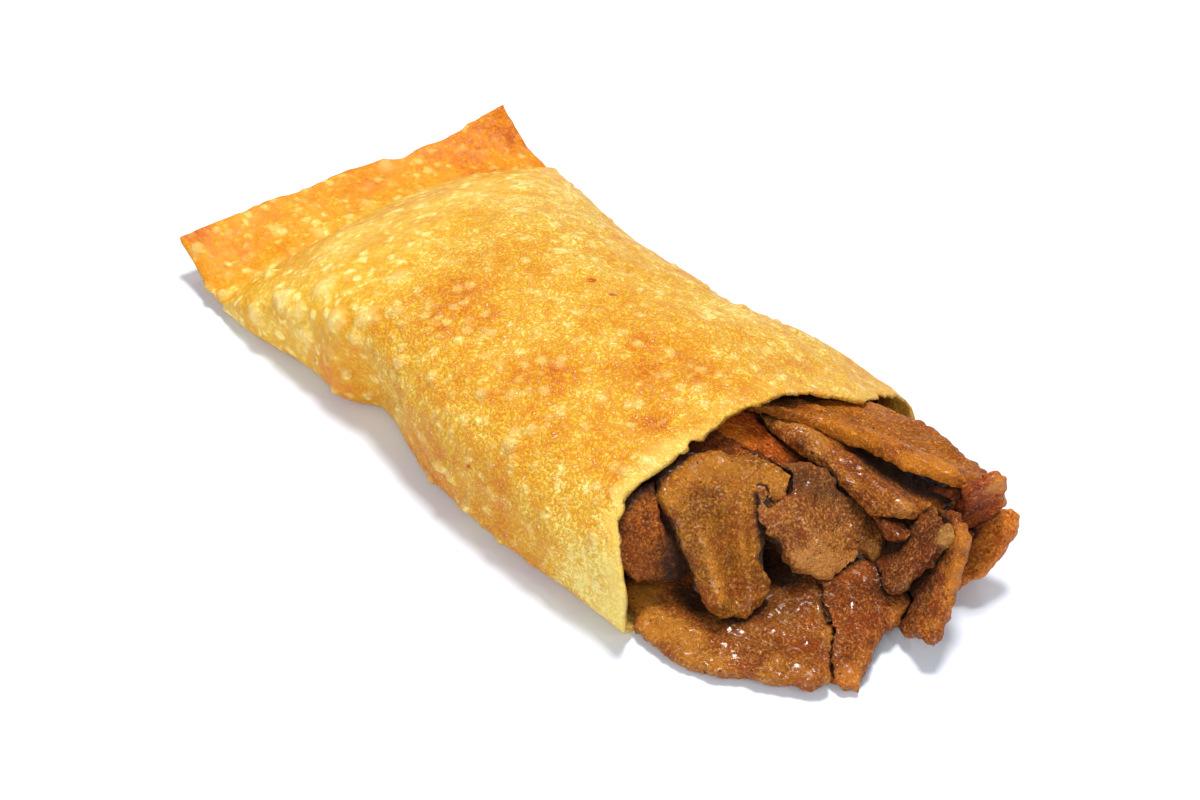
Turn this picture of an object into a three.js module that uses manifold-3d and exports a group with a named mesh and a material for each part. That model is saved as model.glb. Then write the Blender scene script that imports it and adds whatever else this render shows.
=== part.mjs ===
// A donair egg roll, fried: a wrapper that is pressed flat at one end and open at the other, packed
// with shaved donair meat whose front slices spill out of the open end.
// Millimetres, +Z up. +X runs along the roll from the flat end to the open end, the roll lies on
// the plane z = 0, and the origin is in the middle of what it lies on.
import * as THREE from 'three';
import { mergeVertices } from 'three/addons/utils/BufferGeometryUtils.js';
import Module from 'manifold-3d';

const { clamp, lerp, smoothstep } = THREE.MathUtils;
const wasm = await Module();
wasm.setup();

// Middle of the footprint in the places below, which are counted from the body's own middle
const FOOTPRINT_X = 2.85;
const FOOTPRINT_Y = -0.9;

// Clearance cut round each piece: the coarse meshes then still stay 0.3 apart
const GAP = 0.5;

// Wrapper: lengthwise places
const CREASE_X = -65;
const RIM_X = 50;
const TAPER_LENGTH = 60;
const TAPER_POWER = 2.5;
const FLOOR_TAPER = 12;
const MOUTH_START = 18;
const RIGHT_FLARE_START = 10;
const RIGHT_FLARE_END = 40;
const RIM_LEAN = 0.25;
const RIM_SHORT = 2.6;
const RIM_SHORT_FROM = 18;
const CAVITY_BACK = -54;

// Wrapper: the round body's reach to each side, its roof and its wall
const LEFT_REACH = -40.5;
const RIGHT_REACH = 29.5;
const RIGHT_TAPER = 52;
const CREASE_LEFT = -40;
const CREASE_RIGHT = 38;
const RIM_LEFT = -39;
const RIM_RIGHT = 37;
const ROOF_HEIGHT = 27;
const RIM_DROP = 1;
const LEFT_WAIST = 8.5;
const RIGHT_WAIST = 5;
const LEFT_POWER = 3;
const RIGHT_POWER = 1.75;
const RIM_RIGHT_POWER = 1.3;
const BASE_POWER = 6;
const BASE_FLATTEN = 0.2;
const WALL = 1.4;

// Wrapper: where the roof's left curve gives way to its right curve, as cosines of the angle
const BLEND_START = -0.7;
const BLEND_END = 0.5;

// Wrapper: two hollows pressed into the left side, a long shallow one and a short deep one
const HOLLOWS = [
  { x: -37, before: 13, after: 13, depth: 2.4 },
  { x: -20, before: 5, after: 15, depth: 5.5 },
];
const HOLLOW_TOP = 22;
const HOLLOW_LEFT_AT_TOP = 0.35;

// Wrapper: the flat end, two layers pressed into one sheet that curls up towards its corners
const PRESS_HEIGHT = 6.5;
const LEFT_SAG = 3;
const RIGHT_SAG = 2;
const CREASE_HALF_THICKNESS = 2;
const FLAP_HALF_THICKNESS = 1.25;
const FLAP_THINNED_AT = 0.35;
const CREASE_POWER = 2.4;
const FLAP_POWER = 4;
const FLAP_LEFT = -37.5;
const FLAP_RIGHT = 38.8;
const FLAP_LEFT_END = -83;
const FLAP_RIGHT_END = -78.2;
const FLAP_STEP = 3.4;
const FLAP_STEP_Y = 11;
const FLAP_STEP_WIDTH = 6;
const FLAP_CURL = 0.8;
const LEFT_CORNER_CURL = 4.2;
const RIGHT_CORNER_CURL = 6.5;
const CREASE_SLANT = 6;
const SLANT_FADE = 40;

// Relief of the fried surface and of every torn edge: depth, seed and wave length
const BODY_RELIEF = 0.35;
const BODY_SEED = 2;
const BODY_WAVE = 21;
const RELIEF_START = 1;
const RELIEF_FULL = 6;
const EDGE_RELIEF = 0.7;
const FLAP_EDGE_SEED = 5;
const FLAP_EDGE_WAVE = 17;
const RIM_SEED = 7;
const RIM_WAVE = 9;

// Mesh steps
const RING_SAMPLES = 120;
const SAME_POINT = 1e-4;
const WRAPPER_COLUMNS = 44;
const FLAP_ROWS = 7;
const BODY_ROWS = 27;
const INNER_ROWS = 13;
const CORE_COLUMNS = 30;
const CORE_ROWS = 13;
const SLICE_SIDES = 24;
const SLICE_RINGS = [0.5, 0.93];

// Meat
const SLICE_THICKNESS = 2.3;
const SLICE_EDGE = 0.62;
const SLICE_EDGE_WAVE = 7;
const SLICE_BUCKLE = 0.4;
const SLICE_BUCKLE_WAVE = 14;
const CORE_CLEARANCE = 1.2;
const CORE_FRONT = 46;
const CORE_SLOPE = 0.7;
const CORE_SLOPE_START = 14;
const CORE_RELIEF = 1.5;
const CORE_SEED = 3;
const CORE_WAVE = 16;

// The packed meat's rounded nose: how far ahead of its front each ring lies, and how far in
const CORE_NOSE = [
  { ahead: 2.4, inward: 1.2 },
  { ahead: 4, inward: 4 },
];

// A repeatable uneven value between -1 and 1 that varies smoothly over about one wave of length.
// The odd factors only keep the four waves in it from lining up.
function uneven(seed, wave, x, y = 0, z = 0) {
  let total = 0;
  for (let k = 1; k <= 4; k++) {
    const turn = seed * 1.7 + k * 2.4;
    const tilt = Math.sin(seed * 3.1 + k * 1.3);
    const along = x * Math.cos(turn) + y * Math.sin(turn) + z * tilt;
    total += Math.sin((along * (0.7 + 0.23 * k) * 2 * Math.PI) / wave + turn * 3.7);
  }
  return total / 4;
}

// Height of the middle of the pressed sheet, where far is 0 at the crease and 1 at the end edge
function pressedHeight(y, far) {
  const across = clamp(y / CREASE_RIGHT, -1.1, 1.1);
  const corner = across < 0 ? LEFT_CORNER_CURL : RIGHT_CORNER_CURL;
  const sag = across < 0 ? LEFT_SAG : RIGHT_SAG;
  return PRESS_HEIGHT - sag * across ** 2 + far ** 2 * (FLAP_CURL + corner * across ** 2);
}

function creaseX(y) {
  return CREASE_X + CREASE_SLANT * clamp(y / CREASE_RIGHT, 0, 1) ** 2;
}

function flapEndX(y) {
  const straight = lerp(FLAP_LEFT_END, FLAP_RIGHT_END, (y - CREASE_LEFT) / (CREASE_RIGHT - CREASE_LEFT));
  const half = FLAP_STEP_WIDTH / 2;
  const step = FLAP_STEP * smoothstep(y, FLAP_STEP_Y - half, FLAP_STEP_Y + half);
  return straight + step + EDGE_RELIEF * uneven(FLAP_EDGE_SEED, FLAP_EDGE_WAVE, y);
}

function hollowDepth(x) {
  return HOLLOWS.reduce((sum, hollow) => {
    const width = x < hollow.x ? hollow.before : hollow.after;
    return sum + hollow.depth * Math.exp(-(((x - hollow.x) / width) ** 2));
  }, 0);
}

// One cross-section of the wrapper's body at x, moved in by inset on every side
function bodySection(x, inset) {
  const grown = 1 - (1 - clamp((x - CREASE_X) / TAPER_LENGTH, 0, 1)) ** TAPER_POWER;
  const lowered = 1 - (1 - clamp((x - CREASE_X) / FLOOR_TAPER, 0, 1)) ** 2;
  const open = smoothstep(x, MOUTH_START, RIM_X);
  const rightBody = lerp(CREASE_RIGHT, RIGHT_REACH, smoothstep(x, CREASE_X, CREASE_X + RIGHT_TAPER));
  const leftBody = lerp(CREASE_LEFT, LEFT_REACH, grown);
  return {
    x,
    inset,
    grown,
    lowered,
    left: lerp(leftBody, RIM_LEFT, open) + inset,
    right: lerp(rightBody, RIM_RIGHT, smoothstep(x, RIGHT_FLARE_START, RIGHT_FLARE_END)) - inset,
    roof: ROOF_HEIGHT - RIM_DROP * open,
    rightPower: lerp(RIGHT_POWER, RIM_RIGHT_POWER, open),
    lean: RIM_LEAN * smoothstep(x, 0, RIM_X),
    short: RIM_SHORT * open,
    slant: clamp(1 - (x - CREASE_X) / SLANT_FADE, 0, 1) ** 2,
    hollow: hollowDepth(x),
  };
}

// The point of a body section at an angle: 0 is the right waist, half pi the roof, pi the left waist
function bodyPoint(section, angle) {
  const cosine = Math.cos(angle);
  const sine = Math.sin(angle);
  const over = smoothstep(cosine, BLEND_START, BLEND_END);
  const power = sine >= 0 ? lerp(LEFT_POWER, section.rightPower, over) : BASE_POWER;
  const side = Math.sign(cosine) * Math.abs(cosine) ** (2 / power);
  const rise = Math.abs(sine) ** (2 / power);
  const y = lerp(section.left, section.right, (side + 1) / 2);
  const pressed = pressedHeight(y, 0);
  const waist = lerp(pressed, lerp(LEFT_WAIST, RIGHT_WAIST, (side + 1) / 2), section.grown);
  const roof = lerp(pressed + CREASE_HALF_THICKNESS, section.roof, section.grown) - section.inset;
  const base = lerp(pressed - CREASE_HALF_THICKNESS, -BASE_FLATTEN, section.lowered) + section.inset;
  const z = lerp(waist, sine >= 0 ? roof : base, rise);
  const swell = BODY_RELIEF * uneven(BODY_SEED, BODY_WAVE, section.x, y, z);
  const out = section.inset > 0 ? 0 : swell * smoothstep(z, RELIEF_START, RELIEF_FULL);
  const pressedIn = section.hollow * clamp(-side, 0, 1) ** 2;
  const hollow = pressedIn * lerp(1, HOLLOW_LEFT_AT_TOP, smoothstep(z, LEFT_WAIST, HOLLOW_TOP));
  const held = section.lean * z + section.short * smoothstep(y, RIM_SHORT_FROM, RIM_RIGHT);
  return new THREE.Vector3(
    section.x + (creaseX(y) - CREASE_X) * section.slant - held,
    y + out * cosine + hollow,
    Math.max(z + out * Math.max(sine, 0), section.inset),
  );
}

// The point of the pressed sheet at far (0 at the crease, 1 at the end edge)
function flapPoint(far, angle) {
  const cosine = Math.cos(angle);
  const sine = Math.sin(angle);
  const power = lerp(CREASE_POWER, FLAP_POWER, far);
  const side = Math.sign(cosine) * Math.abs(cosine) ** (2 / power);
  const left = lerp(CREASE_LEFT, FLAP_LEFT, far);
  const right = lerp(CREASE_RIGHT, FLAP_RIGHT, far);
  const y = lerp(left, right, (side + 1) / 2);
  const thinned = smoothstep(far, 0, FLAP_THINNED_AT);
  const half = lerp(CREASE_HALF_THICKNESS, FLAP_HALF_THICKNESS, thinned);
  const rise = Math.sign(sine) * Math.abs(sine) ** (2 / power);
  const swell = BODY_RELIEF * uneven(BODY_SEED, BODY_WAVE, lerp(CREASE_X, FLAP_LEFT_END, far), y);
  return new THREE.Vector3(
    lerp(creaseX(y), flapEndX(y), far),
    y,
    pressedHeight(y, far) + half * rise + swell,
  );
}

// A ring of points spaced evenly over the roof half and then evenly back under the floor half
function evenRing(pointAt, columns) {
  const ring = [];
  for (const half of [0, 1]) {
    const path = [];
    for (let k = 0; k <= RING_SAMPLES; k++) {
      path.push(pointAt(Math.PI * (1 - half - k / RING_SAMPLES)));
    }
    const reach = [0];
    for (let k = 1; k <= RING_SAMPLES; k++) {
      reach.push(reach[k - 1] + path[k].distanceTo(path[k - 1]));
    }
    for (let k = 0; k < columns / 2; k++) {
      const wanted = (reach[RING_SAMPLES] * 2 * k) / columns;
      const after = Math.max(1, reach.findIndex((length) => length >= wanted));
      const part = (wanted - reach[after - 1]) / (reach[after] - reach[after - 1]);
      ring.push(path[after - 1].clone().lerp(path[after], part));
    }
  }
  return ring;
}

// A closed body through the rings, each end shut straight across from column k to its mirror
function loft(rings) {
  const columns = rings[0].length;
  const positions = rings.flat().flatMap((point) => [point.x, point.y, point.z]);
  const index = [];
  const quad = (a, b, c, d) => index.push(a, b, c, a, c, d);
  for (let row = 0; row + 1 < rings.length; row++) {
    for (let k = 0; k < columns; k++) {
      const next = (k + 1) % columns;
      const here = row * columns;
      quad(here + k, here + columns + k, here + columns + next, here + next);
    }
  }
  const last = (rings.length - 1) * columns;
  for (let k = 0; k < columns / 2; k++) {
    const mirror = (columns - k) % columns;
    const nextMirror = columns - k - 1;
    if (k > 0) {
      index.push(k, k + 1, mirror, last + k, last + mirror, last + k + 1);
    }
    if (nextMirror > k + 1) {
      index.push(k + 1, nextMirror, mirror, last + k + 1, last + mirror, last + nextMirror);
    }
  }
  const geometry = new THREE.BufferGeometry();
  geometry.setAttribute('position', new THREE.Float32BufferAttribute(positions, 3));
  geometry.setIndex(index);
  return geometry;
}

function bodyRing(x, inset, columns) {
  const section = bodySection(x, inset);
  return evenRing((angle) => bodyPoint(section, angle), columns);
}

function tearRim(ring) {
  ring.forEach((point) => {
    point.x += EDGE_RELIEF * uneven(RIM_SEED, RIM_WAVE, point.y, point.z);
  });
}

// The wrapper, one skin from the flat end to the rim and back inside; grow makes it stouter
function wrapperGeometry(grow) {
  const rim = RIM_X + grow;
  const rings = [];
  for (let row = 0; row < FLAP_ROWS; row++) {
    rings.push(evenRing((angle) => flapPoint(1 - row / FLAP_ROWS, angle), WRAPPER_COLUMNS));
  }
  for (let row = 0; row <= BODY_ROWS; row++) {
    rings.push(bodyRing(lerp(CREASE_X, rim, row / BODY_ROWS), 0, WRAPPER_COLUMNS));
  }
  for (let row = 0; row <= INNER_ROWS; row++) {
    const x = lerp(rim, CAVITY_BACK - grow, row / INNER_ROWS);
    rings.push(bodyRing(x, WALL + grow, WRAPPER_COLUMNS));
  }
  const outerRim = FLAP_ROWS + BODY_ROWS;
  tearRim(rings[outerRim]);
  tearRim(rings[outerRim + 1]);
  return loft(rings);
}

// The packed meat inside the wrapper, with a rounded uneven front that slopes back towards the roof
function coreGeometry() {
  const inset = WALL + CORE_CLEARANCE;
  const rings = [];
  const addRing = (x, inward) => {
    const slope = CORE_SLOPE * smoothstep(x, CORE_SLOPE_START, CORE_FRONT);
    const ring = bodyRing(x, inset + inward, CORE_COLUMNS);
    ring.forEach((point) => {
      point.x -= slope * (point.z - CORE_RELIEF * uneven(CORE_SEED, CORE_WAVE, point.y, point.z));
    });
    rings.push(ring);
  };
  for (let row = 0; row <= CORE_ROWS; row++) {
    addRing(lerp(CAVITY_BACK + CORE_CLEARANCE, CORE_FRONT, row / CORE_ROWS), 0);
  }
  CORE_NOSE.forEach(({ ahead, inward }) => addRing(CORE_FRONT + ahead, inward));
  return loft(rings);
}

function sliceSeed(slice) {
  return slice.at[0] + slice.at[2];
}

// Evenly spaced points round a slice's outline, counter-clockwise
function sliceOutline(slice) {
  const corners = slice.outline.map(([ahead, across]) => new THREE.Vector3(ahead, across, 0));
  const curve = new THREE.CatmullRomCurve3(corners, true, 'centripetal');
  const edge = curve.getSpacedPoints(SLICE_SIDES).slice(0, SLICE_SIDES);
  return THREE.ShapeUtils.area(edge) < 0 ? edge.reverse() : edge;
}

// Each point of an outline moved straight out by grow and by the torn edge's own relief
function tornOutline(edge, seed, grow) {
  return edge.map((point, k) => {
    const next = edge[(k + 1) % SLICE_SIDES];
    const previous = edge[(k + SLICE_SIDES - 1) % SLICE_SIDES];
    const outward = new THREE.Vector3(next.y - previous.y, previous.x - next.x, 0).normalize();
    const relief = EDGE_RELIEF * uneven(seed, SLICE_EDGE_WAVE, point.x, point.y);
    return point.clone().addScaledVector(outward, grow + relief);
  });
}

// How far a slice's middle surface stands off its plane: the curls of its four sides and a buckle
function sliceBow(slice, point) {
  const [front, back, left, right] = slice.curl;
  const ahead = point.x / Math.max(...slice.outline.map((corner) => Math.abs(corner[0])));
  const across = point.y / Math.max(...slice.outline.map((corner) => Math.abs(corner[1])));
  const lengthwise = (ahead > 0 ? front : back) * ahead ** 2;
  const sideways = (across > 0 ? left : right) * across ** 2;
  const buckle = SLICE_BUCKLE * uneven(sliceSeed(slice), SLICE_BUCKLE_WAVE, point.x, point.y);
  return lengthwise + sideways + buckle;
}

// The top face, the bottom face and the rim of a slice, each face a hub and rings of SLICE_SIDES
function sliceIndex() {
  const rings = SLICE_RINGS.length + 1;
  const under = 1 + rings * SLICE_SIDES;
  const index = [];
  for (let k = 0; k < SLICE_SIDES; k++) {
    const next = (k + 1) % SLICE_SIDES;
    index.push(0, 1 + k, 1 + next, under, under + 1 + next, under + 1 + k);
    for (let ring = 1; ring < rings; ring++) {
      const a = 1 + (ring - 1) * SLICE_SIDES;
      const b = a + SLICE_SIDES;
      index.push(a + k, b + k, b + next, a + k, b + next, a + next);
      index.push(under + a + k, under + b + next, under + b + k);
      index.push(under + a + k, under + a + next, under + b + next);
    }
    const rim = 1 + (rings - 1) * SLICE_SIDES;
    index.push(rim + k, under + rim + k, under + rim + next);
    index.push(rim + k, under + rim + next, rim + next);
  }
  return index;
}

// One shaved slice: its outline lies flat round its own centre and is then turned and moved into
// place. grow makes it stouter for cutting its neighbours.
function sliceGeometry(slice, grow) {
  const outline = sliceOutline(slice);
  const hub = outline.reduce((sum, point) => sum.add(point), new THREE.Vector3());
  hub.divideScalar(SLICE_SIDES);
  const edge = tornOutline(outline, sliceSeed(slice), grow);
  const half = SLICE_THICKNESS / 2;
  const positions = [];
  for (const face of [1, -1]) {
    positions.push(hub.x, hub.y, sliceBow(slice, hub) + face * (half + grow));
    for (const ring of [...SLICE_RINGS, 1]) {
      const thick = face * (half * (ring === 1 ? SLICE_EDGE : 1) + grow);
      for (const point of edge) {
        const inner = hub.clone().lerp(point, ring);
        positions.push(inner.x, inner.y, sliceBow(slice, inner) + thick);
      }
    }
  }
  const geometry = new THREE.BufferGeometry();
  geometry.setAttribute('position', new THREE.Float32BufferAttribute(positions, 3));
  geometry.setIndex(sliceIndex());
  const [heading, pitch, roll] = slice.turn.map(THREE.MathUtils.degToRad);
  const turn = new THREE.Euler(roll, pitch, heading, 'ZYX');
  const place = new THREE.Matrix4().makeRotationFromEuler(turn).setPosition(...slice.at);
  return geometry.applyMatrix4(place);
}

const FLAT = [0, 0, 0, 0];

// Slices in the order in which they cut the next ones. at is the centre; turn is heading, pitch
// down and roll in degrees; curl is front, back, left and right in millimetres; outline is ahead
// and across from the centre.
const SLICES = [
  {
    name: 'slice_floor_left',
    at: [63.8, -22.3, 2.6],
    turn: [20, -2, 6],
    curl: [0, 2, 1, 0.5],
    outline: [[-28, 4], [-23.5, -2.5], [-15, -8.6], [-5, -11.2], [3, -9.6], [10.6, -7.2],
      [16.4, -6], [14.2, 1.1], [10, 8.1], [4.5, 16], [-8, 17], [-21, 14]],
  },
  {
    name: 'slice_floor_mid',
    at: [74.1, -8.2, 4.8],
    turn: [-30, 14, 5],
    curl: [0, -1, 0, 0],
    outline: [[3.5, -5.5], [8, -6.8], [12.6, -7], [13.2, -2.9], [8.9, -0.5], [5.5, 3.4],
      [0.2, 9], [-4, 8.5], [-7.5, 5.5], [-11, 0], [-8, -3.5]],
  },
  {
    name: 'slice_floor_right',
    at: [79, 3, 9],
    turn: [60, -55, 0],
    curl: [1, 0.5, -1.5, 0],
    outline: [[-7.5, 1], [-8, -4.7], [-5.2, -9.4], [-2, -11.5], [1.5, -7.5], [5.7, -5], [10, -2.2],
      [10.7, 2], [9, 7.6], [6, 9], [2.5, 7]],
  },
  {
    name: 'slice_right_far',
    at: [80, 15, 8],
    turn: [62, -35, 25],
    curl: FLAT,
    outline: [[-7.5, -3.2], [-0.7, -3.4], [4.7, -1.6], [8.3, 0], [7.8, 3], [3, 6], [-5, 5],
      [-8, 0]],
  },
  {
    name: 'slice_top',
    at: [60, 8, 20.8],
    turn: [28, 5, -18],
    curl: FLAT,
    outline: [[-22, 3], [-21, 12], [-12, 18], [-4, 19.5], [4, 17], [14, 10], [17, 6], [19.5, 5],
      [19, 0], [15.5, -1.6], [5.5, -0.8], [-6, 3], [-15, 3.5]],
  },
  {
    name: 'slice_second',
    at: [61, 1.5, 18],
    turn: [26, 12, -10],
    curl: FLAT,
    outline: [[-19, 13], [-17.6, 9.6], [-12, 5], [-5, 2.7], [0, -0.3], [5.5, -3], [10.5, -2.2],
      [15.5, 4.5], [19.6, 11.5], [17, 15], [4, 15], [-8, 16]],
  },
  {
    name: 'slice_draped',
    at: [53, -18.5, 15],
    turn: [-20, 50, 0],
    curl: [1, -3, 2, 0],
    outline: [[-11, -8], [-13, -2], [-11, 5], [-6.5, 12.7], [-3, 12], [-1.5, 7.5], [5, 6.9],
      [12.5, 4.5], [15, 0.5], [14, -4], [10, -6.8], [3.5, -8], [-4, -9]],
  },
  {
    name: 'slice_centre',
    at: [61.7, -4, 14],
    turn: [-12, 50, 0],
    curl: [0, -2.5, 0, -0.5],
    outline: [[-10, -7], [-10, -1], [-7.6, 3.5], [-4, 7.2], [0.7, 9.2], [7.1, 9.8], [9.8, 7.5],
      [11, 3.2], [9.7, -1.1], [7.8, -4.5], [6.5, -7.2], [0, -10.4], [-5, -11]],
  },
  {
    name: 'slice_right_mid',
    at: [75.5, 2, 11],
    turn: [55, -45, 0],
    curl: FLAT,
    outline: [[-5, 3.5], [-1.5, 6], [2, 8.5], [7, 6.6], [8.5, 2.5], [8.5, -2.2], [2.6, -3.4],
      [-2.7, -5.5], [-5.5, -3.3]],
  },
  {
    name: 'slice_end_flap',
    at: [77.6, 15, 18.2],
    turn: [60, 10, -75],
    curl: FLAT,
    outline: [[-2.2, -5], [0, -6.5], [2.5, -6], [5, 2], [3.4, 8], [0, 7], [-2, 2]],
  },
  {
    name: 'slice_left_back',
    at: [47, -28, 14],
    turn: [-30, 55, -10],
    curl: FLAT,
    outline: [[3, -7], [-3, -7], [-8, -4], [-9, 3], [-4, 8], [6, 7], [7, 0]],
  },
  {
    name: 'slice_back',
    at: [46, -4, 17.5],
    turn: [20, 15, 0],
    curl: FLAT,
    outline: [[-20, -2], [-19, 9], [-10, 13], [-3, 13], [4.5, 8.4], [9.7, 6], [6, 0.6],
      [-1.5, -0.5], [-10, -2]],
  },
  {
    name: 'slice_back_low',
    at: [48, -12, 17.5],
    turn: [10, 20, 0],
    curl: FLAT,
    outline: [[-21, -7], [-20, 4], [-10, 6], [-2, 8], [5.5, 10], [7, 4], [0, -2], [-8, -8]],
  },
  {
    name: 'slice_small',
    at: [70, 3.5, 13.5],
    turn: [30, 20, 0],
    curl: FLAT,
    outline: [[-5, 3], [-2, -1], [2, -2.3], [4, 0.5], [4.5, 5], [0, 7], [-5, 6]],
  },
  {
    name: 'slice_right_back',
    at: [73, 9, 9],
    turn: [-40, 50, 0],
    curl: FLAT,
    outline: [[-8, -3], [-9, 5], [-7, 11], [0, 12], [6, 9], [8, 2], [6, -6], [1, -9], [-5, -8]],
  },
];

function toSolid(geometry) {
  const bare = geometry.clone();
  bare.deleteAttribute('normal');
  bare.deleteAttribute('uv');
  const merged = mergeVertices(bare, SAME_POINT);
  return new wasm.Manifold(new wasm.Mesh({
    numProp: 3,
    vertProperties: new Float32Array(merged.attributes.position.array),
    triVerts: new Uint32Array(merged.index.array),
  }));
}

function toGeometry(solid) {
  const mesh = solid.getMesh();
  const geometry = new THREE.BufferGeometry();
  geometry.setAttribute('position', new THREE.BufferAttribute(mesh.vertProperties, 3));
  geometry.setIndex(new THREE.BufferAttribute(mesh.triVerts, 1));
  geometry.computeVertexNormals();
  return geometry;
}

// What is left of a solid after the cutters, without any loose scraps
function trimmed(solid, cutters) {
  const left = cutters.reduce((rest, cutter) => rest.subtract(cutter), solid);
  return left.decompose().sort((a, b) => b.volume() - a.volume())[0];
}

function plainMaterial(color, roughness) {
  return new THREE.MeshStandardMaterial({ color, roughness, metalness: 0 });
}

const FRIED_DOUGH = plainMaterial(0xdfa03a, 0.5);
const PACKED_MEAT = plainMaterial(0x5e3013, 0.6);
const SHAVED_MEAT = [0x9a5622, 0x8c4a1c, 0xa8642a].map((color) => plainMaterial(color, 0.45));

const group = new THREE.Group();
group.position.set(-FOOTPRINT_X, -FOOTPRINT_Y, 0);

function addPiece(name, geometry, material) {
  const piece = new THREE.Mesh(geometry, material);
  piece.name = name;
  group.add(piece);
}

addPiece('wrapper', toGeometry(toSolid(wrapperGeometry(0))), FRIED_DOUGH);
const cutters = [toSolid(wrapperGeometry(GAP))];
SLICES.forEach((slice, order) => {
  const meat = SHAVED_MEAT[order % SHAVED_MEAT.length];
  addPiece(slice.name, toGeometry(trimmed(toSolid(sliceGeometry(slice, 0)), cutters)), meat);
  cutters.push(toSolid(sliceGeometry(slice, GAP)));
});
addPiece('filling_core', toGeometry(trimmed(toSolid(coreGeometry()), cutters)), PACKED_MEAT);

export default group;
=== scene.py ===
"""The looks of a fried donair egg roll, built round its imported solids."""
import math

import bmesh
import bpy
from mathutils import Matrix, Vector, noise
from mathutils.bvhtree import BVHTree


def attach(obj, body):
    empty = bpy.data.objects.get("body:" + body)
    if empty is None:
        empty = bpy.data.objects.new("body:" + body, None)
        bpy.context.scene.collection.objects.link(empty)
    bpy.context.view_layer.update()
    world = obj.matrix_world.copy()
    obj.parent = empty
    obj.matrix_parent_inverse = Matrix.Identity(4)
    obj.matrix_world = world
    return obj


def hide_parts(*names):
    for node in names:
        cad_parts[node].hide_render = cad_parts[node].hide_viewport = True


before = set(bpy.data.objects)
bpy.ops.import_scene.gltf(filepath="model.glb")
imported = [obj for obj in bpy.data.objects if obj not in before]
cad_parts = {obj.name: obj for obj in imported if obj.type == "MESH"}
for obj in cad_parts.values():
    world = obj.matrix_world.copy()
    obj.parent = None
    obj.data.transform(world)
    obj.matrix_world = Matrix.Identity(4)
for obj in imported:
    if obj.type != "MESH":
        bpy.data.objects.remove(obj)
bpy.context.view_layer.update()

MM = 0.001

# Middle of the footprint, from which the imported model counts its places
FOOTPRINT = Vector((2.85, -0.9, 0))

# The roll's lengthwise places, in millimetres as all that follows
CREASE_X = -65
RIM_X = 50
TAPER_LENGTH = 60
TAPER_POWER = 2.5
FLOOR_TAPER = 12
MOUTH_START = 18
RIGHT_FLARE_START = 10
RIGHT_FLARE_END = 40
RIM_LEAN = 0.25
RIM_SHORT = 2.6
RIM_SHORT_FROM = 18
CAVITY_BACK = -54

# Height of the place that the angles round the rim are taken about
RIM_MIDDLE = 6

# The torn rim: degrees from its right side over its top, and its reach beyond the solid's rim
RIM_REACH = [
    (-10, 0.0),
    (0, -0.5),
    (15, 1.0),
    (28, 2.8),
    (38, 4.0),
    (51, 1.8),
    (68, 0.2),
    (91, 0.0),
    (103, -0.9),
    (112, -1.5),
    (122, -0.6),
    (130, -1.4),
    (142, -0.6),
    (151, -1.4),
    (157, 0.1),
    (161, 2.3),
    (167, 4.3),
    (171, 4.8),
    (180, 3.4),
    (189, 1.0),
    (270, 0.0),
]

# The round body's reach to each side, its roof and its wall
LEFT_REACH = -40.5
RIGHT_REACH = 29.5
RIGHT_TAPER = 52
CREASE_LEFT = -40
CREASE_RIGHT = 38
RIM_LEFT = -39
RIM_RIGHT = 37
ROOF_HEIGHT = 27
RIM_DROP = 1
LEFT_WAIST = 8.5
RIGHT_WAIST = 5
LEFT_POWER = 3
RIGHT_POWER = 1.75
RIM_RIGHT_POWER = 1.3
BASE_POWER = 6
BASE_FLATTEN = 0.2
BLEND_START = -0.7
BLEND_END = 0.5
WALL = 1.4
RIM_WALL = 0.8
RIM_THINNED = 5

# Hollows pressed into the left side: place, spread before and after it, depth
HOLLOWS = [(-37, 13, 13, 2.4), (-20, 5, 15, 5.5)]
HOLLOW_TOP = 22
HOLLOW_LEFT_AT_TOP = 0.35

# The pressed flap
PRESS_HEIGHT = 6.5
LEFT_SAG = 3
RIGHT_SAG = 2
CREASE_HALF_THICKNESS = 2
FLAP_HALF_THICKNESS = 1.25
FLAP_THINNED_AT = 0.35
CREASE_POWER = 2.4
FLAP_POWER = 4
FLAP_LEFT = -37.5
FLAP_RIGHT = 38.8
FLAP_LEFT_END = -83
FLAP_RIGHT_END = -78.2
FLAP_STEP = 3.4
FLAP_STEP_Y = 11
FLAP_STEP_WIDTH = 6
FLAP_CURL = 0.8
LEFT_CORNER_CURL = 4.2
RIGHT_CORNER_CURL = 6.5
CREASE_SLANT = 6
SLANT_FADE = 40

# The solids' own relief
BODY_RELIEF = 0.35
BODY_SEED = 2
BODY_WAVE = 21
RELIEF_START = 1
RELIEF_FULL = 6
EDGE_RELIEF = 0.7
FLAP_EDGE_SEED = 5
FLAP_EDGE_WAVE = 17

# How far back from the rim its tear moves the skin, and the groove along the crease
TEAR_DEPTH = 9
GROOVE_DEPTH = 0.45
GROOVE_WIDTH = 1.1

# Mesh steps of the wrapper
COLUMNS = 300
RING_SAMPLES = 150
FLAP_ROWS = 30
BODY_ROWS = 186
LIP_ROWS = 18
LIP_DEPTH = 12
INNER_ROWS = 12
END_PINCHES = (1, 0.55, 0.2)
SAME_POINT = 1e-7

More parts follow.
